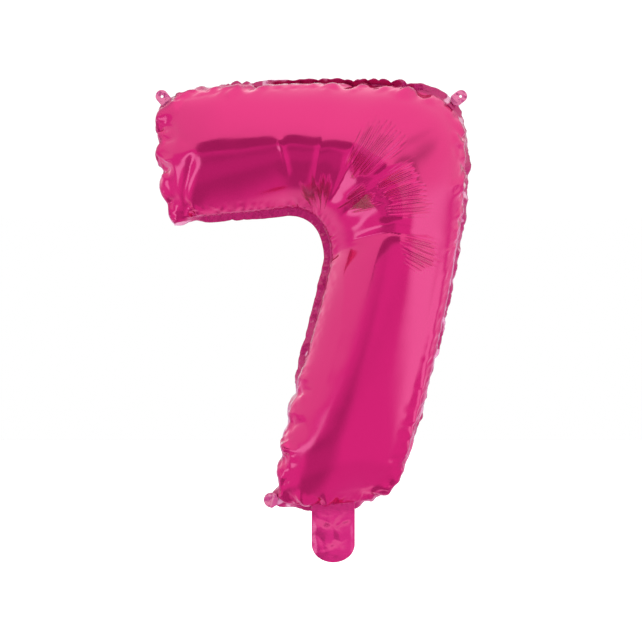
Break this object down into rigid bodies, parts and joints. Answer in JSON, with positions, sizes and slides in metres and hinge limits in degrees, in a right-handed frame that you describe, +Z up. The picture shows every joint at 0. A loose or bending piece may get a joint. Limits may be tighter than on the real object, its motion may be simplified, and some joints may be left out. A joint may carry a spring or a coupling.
{
  "type": "foil number balloon",
  "caption": "Inflated metallised-film number balloon in the shape of a seven, with a heat-sealed seam margin, hanging tabs at its corners and a flat filling tail with a film valve.",
  "frame": {"origin": "midpoint between the two top eyelets, in the plane of the seam", "axes": "+X to the reader's right, -Y towards the reader and +Z up, so the bar runs along X and the tail points down -Z"},
  "size_m": [0.2539, 0.0932, 0.3917],
  "materials": {
    "foil": "metallised magenta film, satin mirror, finely creased",
    "valve_film": "thin clear film, slightly milky"
  },
  "bodies": {
    "balloon": {"front_panel": "foil", "back_panel": "foil", "valve_film_front_upper": "valve_film", "valve_film_back_upper": "valve_film"},
    "tail": {"tail_front_sheet": "foil", "tail_back_sheet": "foil", "valve_film_front_lower": "valve_film", "valve_film_back_lower": "valve_film"},
    "left_tab": {"left_tab_front_sheet": "foil", "left_tab_back_sheet": "foil"},
    "right_tab": {"right_tab_front_sheet": "foil", "right_tab_back_sheet": "foil"},
    "foot_tab": {"foot_tab_front_sheet": "foil", "foot_tab_back_sheet": "foil"}
  },
  "joints": [
    {"name": "tail_fold", "type": "hinge", "parent": "balloon", "child": "tail", "pos_m": [0.0178, 0, -0.333], "axis": [-1, 0, 0], "range_deg": [-90, 90], "stiffness_Nm_per_rad": 0.0001},
    {"name": "left_tab_fold", "type": "hinge", "parent": "balloon", "child": "left_tab", "pos_m": [-0.11748, 0, -0.00423], "axis": [0.769, 0, 0.6392], "range_deg": [-90, 90], "stiffness_Nm_per_rad": 0.00002},
    {"name": "right_tab_fold", "type": "hinge", "parent": "balloon", "child": "right_tab", "pos_m": [0.11669, 0, -0.00342], "axis": [0.6222, 0, -0.7828], "range_deg": [-90, 90], "stiffness_Nm_per_rad": 0.00002},
    {"name": "foot_tab_fold", "type": "hinge", "parent": "balloon", "child": "foot_tab", "pos_m": [-0.03058, 0, -0.32756], "axis": [0.28, 0, 0.96], "range_deg": [-90, 90], "stiffness_Nm_per_rad": 0.00002}
  ]
}
